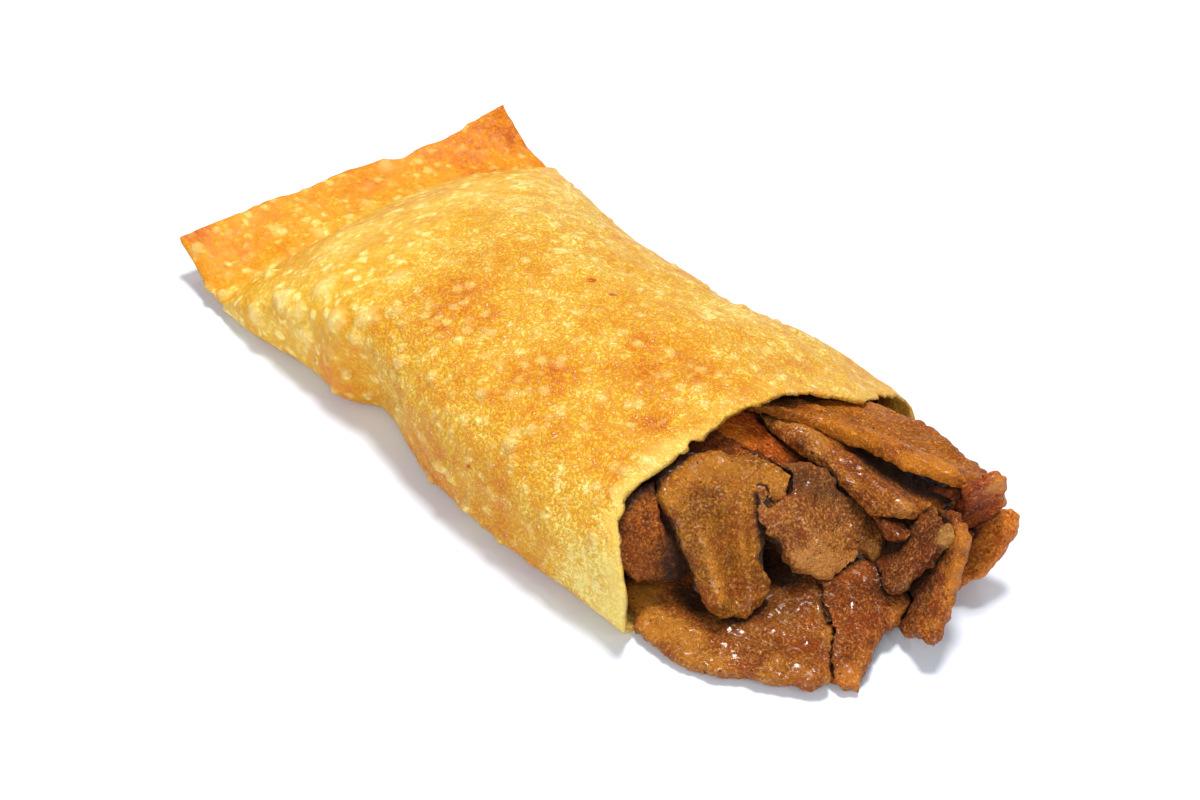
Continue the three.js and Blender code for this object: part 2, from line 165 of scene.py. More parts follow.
# Large blisters of the dough: place, radius and height
BLISTERS = [
    ((-73.8, -20.7, 7.4), 2.4, 0.5),
    ((-67.4, -14.9, 7.8), 2.3, 0.4),
    ((-61.5, -11.7, 10.7), 2.0, 0.4),
    ((-68.6, -1.9, 7.9), 2.2, 0.45),
    ((-77.1, 8.9, 8.5), 2.6, 0.4),
    ((-69.8, -34.9, 5.3), 1.7, 0.35),
    ((-52.6, -39.2, 7.5), 2.8, 0.8),
    ((-45.8, -36.8, 13.8), 3.2, 0.8),
    ((-40.3, -37.0, 14.7), 2.4, 0.6),
    ((-37.7, -32.8, 18.9), 3.1, 0.9),
    ((-37.1, -38.1, 10.8), 2.8, 0.9),
    ((-29.1, -36.2, 18.5), 3.0, 1.0),
    ((-23.2, -33.8, 21.2), 2.8, 0.8),
    ((-25.4, -24.6, 24.3), 2.8, 0.6),
    ((-14.3, -26.4, 25.1), 1.7, 0.4),
    ((-6.2, -23.8, 25.6), 1.5, 0.4),
    ((-2.1, -23.7, 25.7), 1.4, 0.4),
    ((34.8, -6.8, 26.1), 1.9, 0.4),
    ((41.8, -24.3, 24.3), 2.6, 0.4),
    ((-4.8, -2.8, 27.0), 1.8, 0.35),
]

# Blisters that come one to a cell: the cells' size, the share that has one, height, more at the sides
MIDDLING_BLISTERS = (4.4, 0.5, 0.30, 1.10)
SMALL_BLISTERS = (2.5, 0.45, 0.22, 0.20)
SMALL_SHIFT = Vector((9, 9, 9))

# Darker and paler places of the dough: place, reach and how much browner. The rows low on the left
# side make it darker towards the floor, and the pale place low on the left at the rim is painted
# light on that shaded side.
BROWNED_AND_LIT = [
    ((-14.8, -21.1, 25.9), 5.5, 0.34),
    ((-2.9, -22.6, 25.8), 4.0, 0.26),
    ((-10.0, -27.0, 24.8), 6.0, 0.16),
    ((15.5, -21.1, 26.2), 5.0, 0.20),
    ((26.5, -11.2, 26.4), 5.0, 0.30),
    ((19.5, -6.6, 26.9), 4.0, 0.22),
    ((31.6, -4.5, 26.4), 4.0, 0.22),
    ((36.0, -18.2, 25.4), 3.0, 0.45),
    ((13.8, -28.4, 24.7), 5.0, 0.14),
    ((-30.0, -36.0, 4.0), 7.0, 0.30),
    ((0.0, -34.0, 3.0), 9.0, 0.30),
    ((25.0, -38.0, 3.0), 9.0, 0.25),
    ((-55.0, -27.1, 13.2), 5.0, 0.10),
    ((-66.0, 24.0, 7.0), 8.0, 0.20),
    ((-67.0, 37.5, 6.5), 7.0, 0.24),
    ((-66.0, -26.0, 6.0), 9.0, 0.16),
    ((-82.0, -34.0, 8.0), 4.5, 0.26),
    ((-46.0, -18.9, 19.0), 12.0, -0.10),
    ((-36.0, 8.0, 23.0), 14.0, -0.12),
    ((-44.0, -32.0, 16.0), 9.0, -0.10),
    # Painted light: the pale place on the shaded lower left side by the rim
    ((46.0, -37.5, 9.0), 8.0, -0.50),
    ((42.0, -24.0, 24.5), 5.0, -0.16),
    ((20.0, 18.0, 20.0), 14.0, -0.10),
    ((0.3, -0.8, 26.7), 0.5, 1.5),
    ((6.2, -1.0, 26.8), 0.5, 1.5),
    ((13.9, -39.9, 14.6), 0.5, 1.2),
]

# Meat: node, slot, lean tone, dark tone, edge tone and how wet it is
MEAT = [
    ("slice_floor_left", "shaved_meat", "CA7420", "843C08", "F09A30", 0.65),
    ("slice_floor_mid", "shaved_meat", "B45A14", "702E06", "F08C2C", 0.55),
    ("slice_floor_right", "shaved_meat", "CC6C18", "7C3406", "F09028", 0.6),
    ("slice_right_far", "shaved_meat", "FF962C", "CC5C14", "FF9C34", 0.3),
    ("slice_top", "browned_meat", "E28208", "A85602", "F89418", 0.45),
    ("slice_second", "browned_meat", "CC7214", "783404", "F4A040", 0.55),
    ("slice_draped", "shaved_meat", "CE7E10", "8A4806", "EC9428", 0.6),
    ("slice_centre", "shaved_meat", "D07C2C", "84400E", "E89848", 0.8),
    ("slice_right_mid", "shaved_meat", "A85412", "5C2606", "F4AC54", 0.7),
    ("slice_end_flap", "shaved_meat", "D86418", "842808", "FFA448", 0.2),
    ("slice_left_back", "browned_meat", "CC6A08", "702E02", "E07E14", 0.2),
    ("slice_back", "browned_meat", "F07008", "A84402", "F88410", 0.2),
    ("slice_back_low", "browned_meat", "CC5E06", "743402", "D87410", 0.2),
    ("slice_small", "shaved_meat", "AC5010", "602604", "CC7820", 0.4),
    ("slice_right_back", "browned_meat", "DC6418", "843608", "F08028", 0.2),
    ("filling_core", "packed_meat", "6C3008", "381804", "884410", 0.2),
]

# Spots on the slices: place, reach, tone from -1 for dark to 1 for the edge's colour, and wetness.
# Dark tones are painted shade in gaps, holes and under overhangs. Light tones are painted light on
# places in shade, and some widen the orange edges.
SPOTS = {
    "slice_floor_left": [
        ((57.5, -11.0, 5.7), 4.0, -1.4, 0.0),
        ((61.7, -10.8, 5.6), 2.5, -0.9, 0.0),
        ((51.2, -25.5, 3.9), 2.6, -0.9, 0.0),
        ((55.2, -25.6, 3.7), 2.2, -0.9, 0.0),
        ((57.5, -23.5, 3.7), 3.0, -0.7, 0.0),
        ((47.8, -30.0, 3.7), 3.0, 0.5, 0.0),
        ((67.5, -31.0, 3.0), 3.5, 0.6, 0.1),
        ((74.0, -27.4, 2.6), 3.0, 0.5, 0.1),
        ((65.0, -17.4, 4.3), 4.0, -0.4, 0.0),
        ((67.0, -13.5, 4.9), 3.0, -0.3, 0.0),
        ((54.6, -34.3, 3.0), 4.0, 0.6, 0.0),
        ((62.1, -33.5, 2.7), 4.0, 0.5, 0.2),
        ((48.3, -32.5, 3.6), 3.0, 0.4, 0.0),
        ((75.3, -15.3, 4.0), 2.5, 0.5, 0.2),
        ((80.4, -21.4, 3.4), 2.5, 0.5, 0.0),
        ((63.5, -25.4, 3.4), 4.5, -0.1, 0.9),
        ((67.1, -28.4, 3.2), 4.0, -0.2, 1.0),
        ((69.2, -16.0, 4.3), 3.0, 0.0, 0.6),
    ],
    "slice_floor_mid": [
        ((70.2, -7.9, 6.6), 2.5, -0.4, 0.3),
        ((81.4, -19.1, 2.5), 3.0, 0.5, 0.0),
        ((82.9, -16.3, 2.9), 3.0, 0.5, 0.3),
        ((79.6, -3.7, 6.0), 3.0, 0.6, 0.0),
        ((80.8, -8.8, 4.0), 2.5, 0.5, 0.0),
        ((76.0, -12.5, 4.3), 3.5, 0.0, 0.6),
    ],
    "slice_floor_right": [
        ((76.8, 8.5, 16.8), 2.0, -0.6, 0.0),
        ((81.4, 6.1, 18.3), 3.0, 0.7, 0.0),
        ((84.6, 2.8, 14.8), 3.0, 0.6, 0.0),
        ((85.6, 0.6, 12.2), 3.0, 0.6, 0.0),
        ((85.7, -3.6, 7.7), 2.5, 0.5, 0.2),
        ((82.7, 0.4, 10.7), 2.5, -0.4, 0.3),
        ((80.6, -1.5, 7.5), 3.0, -0.2, 0.7),
    ],
    "slice_right_far": [
        ((82.1, 19.1, 12.8), 3.0, 0.4, 0.0),
        ((80.0, 13.5, 9.0), 3.0, -0.2, 0.4),
    ],
    "slice_top": [
        ((50.3, 5.2, 21.7), 4.0, 0.5, 0.0),
        ((56.6, 7.0, 21.5), 3.5, 0.5, 0.0),
        ((65.8, 9.4, 21.6), 3.5, 0.6, 0.0),
        ((71.5, 12.5, 21.7), 4.0, 0.7, 0.0),
        ((64.5, 17.0, 19.2), 4.0, 0.1, 0.9),
        ((44.0, 9.5, 20.3), 4.0, -0.3, 0.0),
    ],
    "slice_second": [
        ((40.2, 3.7, 18.9), 4.0, 0.6, 0.2),
        ((45.7, 4.1, 19.3), 3.5, 0.6, 0.6),
        ((53.6, 3.1, 19.5), 3.0, 0.5, 0.5),
        ((61.6, 2.1, 18.9), 3.0, 0.3, 0.6),
        ((71.2, 5.1, 16.7), 3.0, 0.6, 0.3),
        ((73.0, 11.5, 14.7), 3.0, 0.6, 0.2),
        ((66.8, 14.5, 15.5), 6.0, -0.6, 0.0),
        ((62.0, 10.0, 17.3), 4.5, -0.5, 0.0),
        ((56.7, 7.5, 18.8), 3.0, -0.4, 0.0),
    ],
    "slice_draped": [
        ((47.1, -23.6, 20.5), 2.2, 0.7, 0.2),
        ((46.0, -19.4, 22.1), 2.4, 0.5, 0.0),
        ((55.0, -8.4, 20.2), 4.0, 0.6, 0.5),
        ((48.2, -14.8, 22.0), 4.5, 0.5, 0.2),
        ((53.3, -23.4, 14.3), 2.5, 0.2, 0.8),
        ((55.8, -22.9, 12.2), 2.5, 0.3, 0.9),
        ((58.3, -23.6, 9.4), 2.5, 0.3, 0.8),
        ((52.5, -27.0, 13.0), 3.5, -0.6, 0.0),
        ((55.0, -27.5, 9.0), 3.0, -0.5, 0.0),
        ((58.0, -19.5, 11.5), 1.8, -0.3, 0.0),
        ((60.6, -14.6, 11.4), 1.3, -0.9, 0.0),
        ((59.5, -16.8, 11.0), 3.0, 0.2, 0.3),
        ((62.4, -20.4, 6.5), 2.5, 0.2, 0.9),
    ],
    "slice_centre": [
        ((56.5, -5.2, 19.4), 4.0, -0.7, 0.0),
        ((60.2, -0.6, 17.6), 3.5, -0.7, 0.0),
        ((64.6, 2.6, 13.6), 2.2, -0.2, 0.0),
        ((62.2, -5.3, 14.9), 4.0, 0.2, 0.8),
        ((60.5, -14.2, 12.3), 1.7, -1.2, 0.0),
        ((54.8, -11.0, 19.8), 2.2, 0.2, 0.0),
        ((63.6, -11.1, 11.6), 2.2, 0.6, 0.0),
        ((66.2, -8.8, 9.2), 3.0, 0.8, 0.0),
        ((68.2, -3.5, 7.2), 3.5, 0.8, 0.0),
        ((69.2, 1.6, 9.0), 2.5, 0.5, 0.0),
        ((57.7, -11.2, 17.6), 3.0, 0.3, 0.0),
        ((61.9, -6.1, 15.1), 3.5, 0.0, 0.8),
        ((64.9, -2.8, 12.5), 3.5, 0.1, 1.0),
    ],
    "slice_right_mid": [
        ((70.7, 2.9, 10.3), 3.5, -0.7, 0.0),
        ((75.8, 1.2, 12.0), 3.0, 0.0, 0.9),
        ((79.9, 5.0, 17.4), 2.5, 0.7, 0.2),
        ((79.0, -2.2, 10.5), 2.5, 0.4, 0.0),
    ],
    "slice_end_flap": [
        ((78.6, 15.5, 17.0), 2.5, -0.6, 0.0),
        ((79.9, 15.0, 21.6), 2.0, 0.5, 0.0),
        ((80.8, 16.8, 23.1), 2.5, 0.5, 0.0),
        ((81.0, 18.6, 18.0), 2.5, 0.6, 0.0),
    ],
    "slice_left_back": [
        ((51.5, -28.0, 9.0), 3.2, -0.9, 0.0),
        ((50.0, -27.0, 14.0), 2.6, -0.6, 0.0),
        ((45.0, -29.0, 18.0), 4.0, 0.3, 0.0),
        ((48.1, -31.9, 12.5), 3.5, -0.5, 0.0),
    ],
    "slice_back": [
        ((50.0, -0.8, 17.2), 2.5, -0.6, 0.0),
        ((42.0, -5.4, 19.5), 4.5, 0.7, 0.0),
    ],
}

# Ridges and grooves of the slices: start, end, reach and height
FOLDS = {
    "slice_draped": [
        ((52.5, -23.0, 15.5), (59.6, -25.0, 7.4), 1.5, 1.0),
        ((52.8, -18.2, 17.0), (60.9, -22.4, 6.8), 1.1, -0.8),
        ((53.8, -15.6, 17.2), (62.2, -20.2, 6.8), 1.3, 0.6),
        ((49.0, -26.0, 17.5), (55.5, -28.0, 8.5), 1.6, -0.8),
        ((45.5, -17.0, 23.0), (51.0, -10.5, 22.0), 1.4, 0.5),
    ],
    "slice_floor_left": [
        ((58.0, -30.5, 3.0), (72.0, -24.0, 3.2), 1.8, 0.6),
        ((62.0, -27.5, 3.2), (74.0, -20.0, 3.8), 1.4, -0.5),
        ((44.0, -31.0, 3.6), (60.0, -32.5, 3.0), 1.6, 0.5),
    ],
    "slice_centre": [
        ((58.0, -8.0, 17.5), (66.5, -6.5, 9.5), 1.5, 0.5),
        ((60.0, -3.5, 16.6), (68.5, -1.0, 8.0), 1.4, -0.5),
    ],
    "slice_top": [
        ((44.0, 8.5, 21.0), (72.0, 15.0, 20.0), 1.8, 0.5),
        ((52.0, 13.0, 20.0), (70.0, 18.5, 19.0), 1.8, -0.5),
    ],
    "slice_second": [
        ((44.0, 5.0, 19.3), (70.0, 6.0, 17.0), 1.6, 0.5),
    ],
    "slice_floor_mid": [
        ((70.0, -6.0, 7.0), (81.0, -14.0, 3.5), 1.6, 0.6),
        ((74.0, -4.0, 6.8), (81.0, -8.5, 4.6), 1.3, -0.5),
    ],
}

# Places where a slice is moved aside or drawn out: place, reach and the way it moves
PUSHED = {
    "slice_draped": [
        ((60.4, -14.8, 11.4), 3.6, (-0.3, -1.9, 0.3)),
        ((54.0, -11.6, 20.3), 2.6, (0.3, -1.0, 0.2)),
    ],
    "slice_centre": [
        ((60.2, -13.9, 12.6), 3.0, (0.2, 0.9, 0.3)),
    ],
    "slice_back": [
        ((51.5, 0.0, 16.8), 5.0, (3.4, 0.3, -0.8)),
    ],
}

# Mesh steps of the meat
SLICE_VOXEL = 0.32
CORE_VOXEL = 0.9
SMOOTHING = 1
CAD_SAME_POINT = 1e-6

# Thin edges of the slices: how they are told and how much thinner they are, and the swell of all
EDGE_SMOOTHING = 24
EDGE_PULL = 0.5
THINNED = 0.60
SWELL = 0.04

# Height of the ridges and grooves, and how much paler a ridge and darker a groove is painted, as
# painted light and shade
FOLD_GAIN = 1.5
FOLD_SHADING = 0.3

# Dark gaps: how near a neighbour shades, how squarely a way has to face it, and the ways tried
CREVICE = 9
FACING = 0.25
WAYS_AROUND = [
    Vector(way).normalized()
    for way in [
        (0, 0, 1), (1, 0, 0.5), (-1, 0, 0.5), (0, 1, 0.5), (0, -1, 0.5), (0.8, 0.8, -0.3),
        (0.8, -0.8, -0.3), (-0.8, 0.8, -0.3), (-0.8, -0.8, -0.3), (0.7, 0.7, 1), (0.7, -0.7, 1),
        (-0.7, 0.7, 1), (-0.7, -0.7, 1), (0, 0, -1),
    ]
]

# Camera and floor: places in millimetres, the floor's half width in metres
CAMERA_PLACE = (214.802, -186.940, 239.374)
CAMERA_TARGET = (-0.498, 0.217, 0)
SENSOR_WIDTH = 36
FOCAL_LENGTH = 60
FLOOR_REACH = 4

# Light: the sky's colour and strength, and the lamps' names, places, sizes and powers
SKY_COLOR = (0.82, 0.92, 1, 1)
SKY_STRENGTH = 0.33
LAMPS = [
    ("overhead", (-90, 200, 1000), 250, 9.0),
    ("front", (350, -650, 480), 500, 2.8),
    ("sparkle", (-420, 330, 620), 60, 0.5),
    ("near_sparkle", (450, -330, 620), 50, 0.25),
    ("side_sparkle", (570, 10, 510), 40, 0.45),
]


def clamp(value, low=0.0, high=1.0):
    return min(max(value, low), high)


def lerp(start, end, part):
    return start + (end - start) * part


def smoothstep(value, start, end):
    part = clamp((value - start) / (end - start))
    return part * part * (3 - 2 * part)


def signed_power(value, power):
    return math.copysign(abs(value) ** power, value)


def uneven(seed, wave, x, y=0.0, z=0.0):
    """A repeatable value between -1 and 1 that varies smoothly over about one wave of length."""
    total = 0.0
    for k in range(1, 5):
        turn = seed * 1.7 + k * 2.4
        tilt = math.sin(seed * 3.1 + k * 1.3)
        along = x * math.cos(turn) + y * math.sin(turn) + z * tilt
        total += math.sin(along * (0.7 + 0.23 * k) * math.tau / wave + turn * 3.7)
    return total / 4


def lumps(place, size, seed=0.0):
    """Smooth noise between about -1 and 1 with lumps of that size."""
    return noise.noise(place / size + Vector((seed, seed * 0.7, -seed)))


def to_frame(place):
    return (place - FOOTPRINT) * MM


def from_frame(place):
    return place / MM + FOOTPRINT


def pressed_height(y, far):
    """Height of the middle of the pressed sheet; far is 0 at the crease and 1 at the end edge."""
    across = clamp(y / CREASE_RIGHT, -1.1, 1.1)
    corner = LEFT_CORNER_CURL if across < 0 else RIGHT_CORNER_CURL
    sag = LEFT_SAG if across < 0 else RIGHT_SAG
    return PRESS_HEIGHT - sag * across**2 + far**2 * (FLAP_CURL + corner * across**2)


def crease_x(y):
    return CREASE_X + CREASE_SLANT * clamp(y / CREASE_RIGHT) ** 2


def flap_end_x(y):
    straight = lerp(FLAP_LEFT_END, FLAP_RIGHT_END, (y - CREASE_LEFT) / (CREASE_RIGHT - CREASE_LEFT))
    half = FLAP_STEP_WIDTH / 2
    step = FLAP_STEP * smoothstep(y, FLAP_STEP_Y - half, FLAP_STEP_Y + half)
    return straight + step + EDGE_RELIEF * uneven(FLAP_EDGE_SEED, FLAP_EDGE_WAVE, y)


def hollow_depth(x):
    total = 0.0
    for middle, before, after, depth in HOLLOWS:
        width = before if x < middle else after
        total += depth * math.exp(-(((x - middle) / width) ** 2))
    return total


class Section:
    """One cross-section of the wrapper's body at x, moved in by inset on every side."""

    def __init__(self, x, inset):
        self.x = x
        self.inset = inset
        self.grown = 1 - (1 - clamp((x - CREASE_X) / TAPER_LENGTH)) ** TAPER_POWER
        self.lowered = 1 - (1 - clamp((x - CREASE_X) / FLOOR_TAPER)) ** 2
        opened = smoothstep(x, MOUTH_START, RIM_X)
        flared = smoothstep(x, RIGHT_FLARE_START, RIGHT_FLARE_END)
        tapered = smoothstep(x, CREASE_X, CREASE_X + RIGHT_TAPER)
        left = lerp(CREASE_LEFT, LEFT_REACH, self.grown)
        right = lerp(CREASE_RIGHT, RIGHT_REACH, tapered)
        self.left = lerp(left, RIM_LEFT, opened) + inset
        self.right = lerp(right, RIM_RIGHT, flared) - inset
        self.roof = ROOF_HEIGHT - RIM_DROP * opened
        self.right_power = lerp(RIGHT_POWER, RIM_RIGHT_POWER, opened)
        self.lean = RIM_LEAN * smoothstep(x, 0, RIM_X)
        self.short = RIM_SHORT * opened
        self.slant = clamp(1 - (x - CREASE_X) / SLANT_FADE) ** 2
        self.hollow = hollow_depth(x)

    def point(self, angle):
        """The point at an angle: 0 is the right waist, half pi the roof, pi the left waist."""
        cosine = math.cos(angle)
        sine = math.sin(angle)
        over = smoothstep(cosine, BLEND_START, BLEND_END)
        power = lerp(LEFT_POWER, self.right_power, over) if sine >= 0 else BASE_POWER
        side = signed_power(cosine, 2 / power)
        rise = abs(sine) ** (2 / power)
        y = lerp(self.left, self.right, (side + 1) / 2)
        pressed = pressed_height(y, 0)
        waist = lerp(pressed, lerp(LEFT_WAIST, RIGHT_WAIST, (side + 1) / 2), self.grown)
        roof = lerp(pressed + CREASE_HALF_THICKNESS, self.roof, self.grown) - self.inset
        base = lerp(pressed - CREASE_HALF_THICKNESS, -BASE_FLATTEN, self.lowered) + self.inset
        z = lerp(waist, roof if sine >= 0 else base, rise)
        swell = 0.0
        if self.inset == 0:
            swell = BODY_RELIEF * uneven(BODY_SEED, BODY_WAVE, self.x, y, z)
            swell *= smoothstep(z, RELIEF_START, RELIEF_FULL)
        hollow = self.hollow * clamp(-side) ** 2
        hollow *= lerp(1, HOLLOW_LEFT_AT_TOP, smoothstep(z, LEFT_WAIST, HOLLOW_TOP))
        held = self.lean * z + self.short * smoothstep(y, RIM_SHORT_FROM, RIM_RIGHT)
        return Vector((
            self.x + (crease_x(y) - CREASE_X) * self.slant - held,
            y + swell * cosine + hollow,
            max(z + swell * max(sine, 0), self.inset),
        ))


def flap_point(far, angle):
    """The point of the pressed sheet at far, 0 at the crease and 1 at the end edge."""
    cosine = math.cos(angle)
    sine = math.sin(angle)
    power = lerp(CREASE_POWER, FLAP_POWER, far)
    side = signed_power(cosine, 2 / power)
    left = lerp(CREASE_LEFT, FLAP_LEFT, far)
    right = lerp(CREASE_RIGHT, FLAP_RIGHT, far)
    y = lerp(left, right, (side + 1) / 2)
    thinned = smoothstep(far, 0, FLAP_THINNED_AT)
    half = lerp(CREASE_HALF_THICKNESS, FLAP_HALF_THICKNESS, thinned)
    swell = BODY_RELIEF * uneven(BODY_SEED, BODY_WAVE, lerp(CREASE_X, FLAP_LEFT_END, far), y)
    z = pressed_height(y, far) + half * signed_power(sine, 2 / power) + swell
    return Vector((lerp(crease_x(y), flap_end_x(y), far), y, z))


def even_ring(point_at):
    """COLUMNS points spaced evenly over the roof half and then evenly back under the floor half."""
    ring = []
    for half in (0, 1):
        path = [point_at(math.pi * (1 - half - k / RING_SAMPLES)) for k in range(RING_SAMPLES + 1)]
        reach = [0.0]
        for before, after in zip(path, path[1:]):
            reach.append(reach[-1] + (after - before).length)
        here = 1
        for k in range(COLUMNS // 2):
            wanted = reach[-1] * 2 * k / COLUMNS
            while reach[here] < wanted:
                here += 1
            part = (wanted - reach[here - 1]) / (reach[here] - reach[here - 1])
            ring.append(path[here - 1].lerp(path[here], part))
    return ring


def pinched(ring, part):
    """The ring with its roof and its floor brought together by part."""
    closed = []
    for k, point in enumerate(ring):
        middle = (point + ring[-k % COLUMNS]) / 2
        closed.append(point.lerp(middle, part))
    return closed


def flap_rings():
    """The flap from its rounded end edge to the crease."""
    end = even_ring(lambda angle: flap_point(1, angle))
    rings = [pinched(end, part) for part in END_PINCHES]
    for row in range(FLAP_ROWS):
        rings.append(even_ring(lambda angle: flap_point(1 - (row + 0.5) / FLAP_ROWS, angle)))
    return rings


def body_rings():
    """The body's outer skin from the crease to the rim."""
    places = [lerp(CREASE_X, RIM_X, row / BODY_ROWS) for row in range(BODY_ROWS + 1)]
    return [even_ring(Section(x, 0).point) for x in places]


def inner_rings():
    """The inner skin from the rim to its closed end, with a wall that thins towards the rim."""
    places = [RIM_X - LIP_DEPTH * row / LIP_ROWS for row in range(LIP_ROWS)]
    deep = RIM_X - LIP_DEPTH
    places += [lerp(deep, CAVITY_BACK, row / INNER_ROWS) for row in range(INNER_ROWS + 1)]
    rings = []
    for x in places:
        wall = lerp(WALL, RIM_WALL, smoothstep(x, RIM_X - RIM_THINNED, RIM_X))
        rings.append(even_ring(Section(x, wall).point))
    return rings + [pinched(rings[-1], 1)]


def rim_reach(y, z):
    """How far the rim reaches at a place on it, between the rows of RIM_REACH."""
    turn = math.degrees(math.atan2(z - RIM_MIDDLE, y))
    if turn < -90:
        turn += 360
    for (before, first), (after, second) in zip(RIM_REACH, RIM_REACH[1:]):
        if turn < after:
            return lerp(first, second, smoothstep(turn, before, after))
    return 0.0


def rim_tear(y, z):
    """How far the torn rim stands out at a place on it."""
    place = Vector((0, y, z))
    nibbled = clamp(0.35 + 1.6 * lumps(place, 8, 12))
    small = 1.7 * lumps(place, 2.6, 9) + 1.1 * lumps(place, 1.1, 3)
    return rim_reach(y, z) + 0.5 * lumps(place, 6, 4) + nibbled * small


def tube(rings):
    """A closed skin through the rings, as a bmesh whose layer tells the row of each vertex."""
    shape = bmesh.new()
    rows = len(rings) - 1
    bmesh.ops.create_grid(shape, x_segments=rows, y_segments=COLUMNS, size=0.5)
    row_of = shape.verts.layers.int.new("row")
    for vertex in shape.verts:
        row = round((vertex.co.x + 0.5) * rows)
        column = round((vertex.co.y + 0.5) * COLUMNS) % COLUMNS
        vertex.co = to_frame(rings[row][column])
        vertex[row_of] = row
    bmesh.ops.remove_doubles(shape, verts=shape.verts, dist=SAME_POINT)
    bmesh.ops.recalc_face_normals(shape, faces=shape.faces)
    return shape


def cell_blister(place, kind, side):
    """Height of a blister of that kind at a place that lies at the side by so much."""
    size, share, height, more_at_side = kind
    distances, points = noise.voronoi(place / size)
    chance = abs(noise.cell(points[0] * 7.3))
    if chance > share:
        return 0.0
    radius = 0.25 + 0.25 * chance / share
    return (height + more_at_side * side) * (1 - min(distances[0] / radius, 1) ** 2) ** 2


def large_blister(place):
    total = 0.0
    for middle, radius, height in BLISTERS:
        away = (place - Vector(middle)).length / radius
        if away < 1:
            total = max(total, height * (1 - away**2) ** 1.5)
    return total


def browning_and_light(place):
    """How brown the dough is, from 0 for pale to 1 for dark, with painted light in the pale place low
    on the left at the rim.
    """
    along = place.x
    flap = smoothstep(crease_x(place.y) - along, -2, 10)
    total = 0.40 + (0.15 + 0.13 * smoothstep(place.y, -15, 15)) * flap
    total -= 0.02 * smoothstep(along, -62, -52) * (1 - smoothstep(along, -40, -18))
    total += 0.04 * smoothstep(along, -20, 0)
    for middle, reach, amount in BROWNED_AND_LIT:
        away = (place - Vector(middle)).length / reach
        if away < 2.5:
            total += amount * math.exp(-(away**2))
    creased = (along - crease_x(place.y)) / 1.6
    return total + 0.16 * math.exp(-(creased**2)) * smoothstep(place.y, -20, 5)


def graininess(place):
    """Where the dough is finely grained instead of smooth."""
    return 0.25 + 0.75 * smoothstep(place.x + 0.35 * place.y, -45, -24)


def dough_relief(place):
    """Height of the outer skin's relief at a place, and how blistered it is there."""
    above = smoothstep(place.z, 0.6, 4)
    right = 0.4 * smoothstep(place.y, 14, 26) * smoothstep(place.x, -62, -50)
    right *= 1 - smoothstep(place.x, 34, 42)
    side = (smoothstep(-place.y, 22, 34) + right) * above
    large = large_blister(place)
    middling = cell_blister(place, MIDDLING_BLISTERS, side)
    small = cell_blister(place + SMALL_SHIFT, SMALL_BLISTERS, side)
    rolling = 0.30 * lumps(place, 5.5, 1) + 0.16 * lumps(place, 2.2, 3)
    ridged = smoothstep(place.y, -12, 6) * smoothstep(place.x, -48, -25)
    fold = Vector((place.x / 16, place.y / 1.7, place.z / 1.7))
    wrinkle = 0.24 * ridged * noise.noise(fold)
    creased = (place.x - crease_x(place.y)) / GROOVE_WIDTH
    groove = -GROOVE_DEPTH * math.exp(-(creased**2))
    relief = (large + middling + small + rolling + wrinkle + groove) * above
    return relief, clamp(large * 1.5 + middling * 1.2 + small * 2.2)


def make_wrapper():
    rings = flap_rings() + body_rings()
    outer_rows = len(rings)
    rings += inner_rings()
    shape = tube(rings)
    row_of = shape.verts.layers.int["row"]
    browned = shape.verts.layers.float.new("browned")
    blistered = shape.verts.layers.float.new("blistered")
    grained = shape.verts.layers.float.new("grained")
    inside = shape.verts.layers.float.new("inside")
    lipped = shape.verts.layers.float.new("lipped")
    shape.normal_update()
    for vertex in shape.verts:
        place = from_frame(vertex.co)
        outer = vertex[row_of] < outer_rows
        short = RIM_X - place.x - RIM_LEAN * place.z
        short -= RIM_SHORT * smoothstep(place.y, RIM_SHORT_FROM, RIM_RIGHT)
        torn = 1 - smoothstep(short, 0, TEAR_DEPTH)
        # Browning, with painted light low on the left side by the rim
        vertex[browned] = browning_and_light(place)
        vertex[grained] = graininess(place)
        # The inner skin: painted shade that deepens further into the roll, with darker soaked dough
        vertex[inside] = 0.0 if outer else 0.45 + 0.55 * smoothstep(short, 2, 14)
        # A paler band at the torn rim: paler dough, with painted light that is strongest on the left
        # side
        vertex[lipped] = 1 - smoothstep(short + 4 * lumps(place, 6, 5), 0.5, 4.5)
        vertex[lipped] *= 0.25 + 0.75 * smoothstep(-place.y, 5, 25)
        if outer:
            relief, vertex[blistered] = dough_relief(place)
        else:
            relief = 0.15 * lumps(place, 3.0, 6)
        vertex.co += vertex.normal * relief * MM
        vertex.co.x += rim_tear(place.y, place.z) * torn * MM
    finish_piece(shape, "fried_wrapper", "wrapper", dough_material())


def finish_piece(shape, name, node, material):
    """Makes the bmesh a smooth object that stands for the CAD node."""
    mesh = bpy.data.meshes.new(name)
    shape.to_mesh(mesh)
    shape.free()
    mesh.shade_smooth()
    mesh.materials.append(material)
    piece = bpy.data.objects.new(name, mesh)
    bpy.context.scene.collection.objects.link(piece)
    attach(piece, "root")
    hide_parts(node)


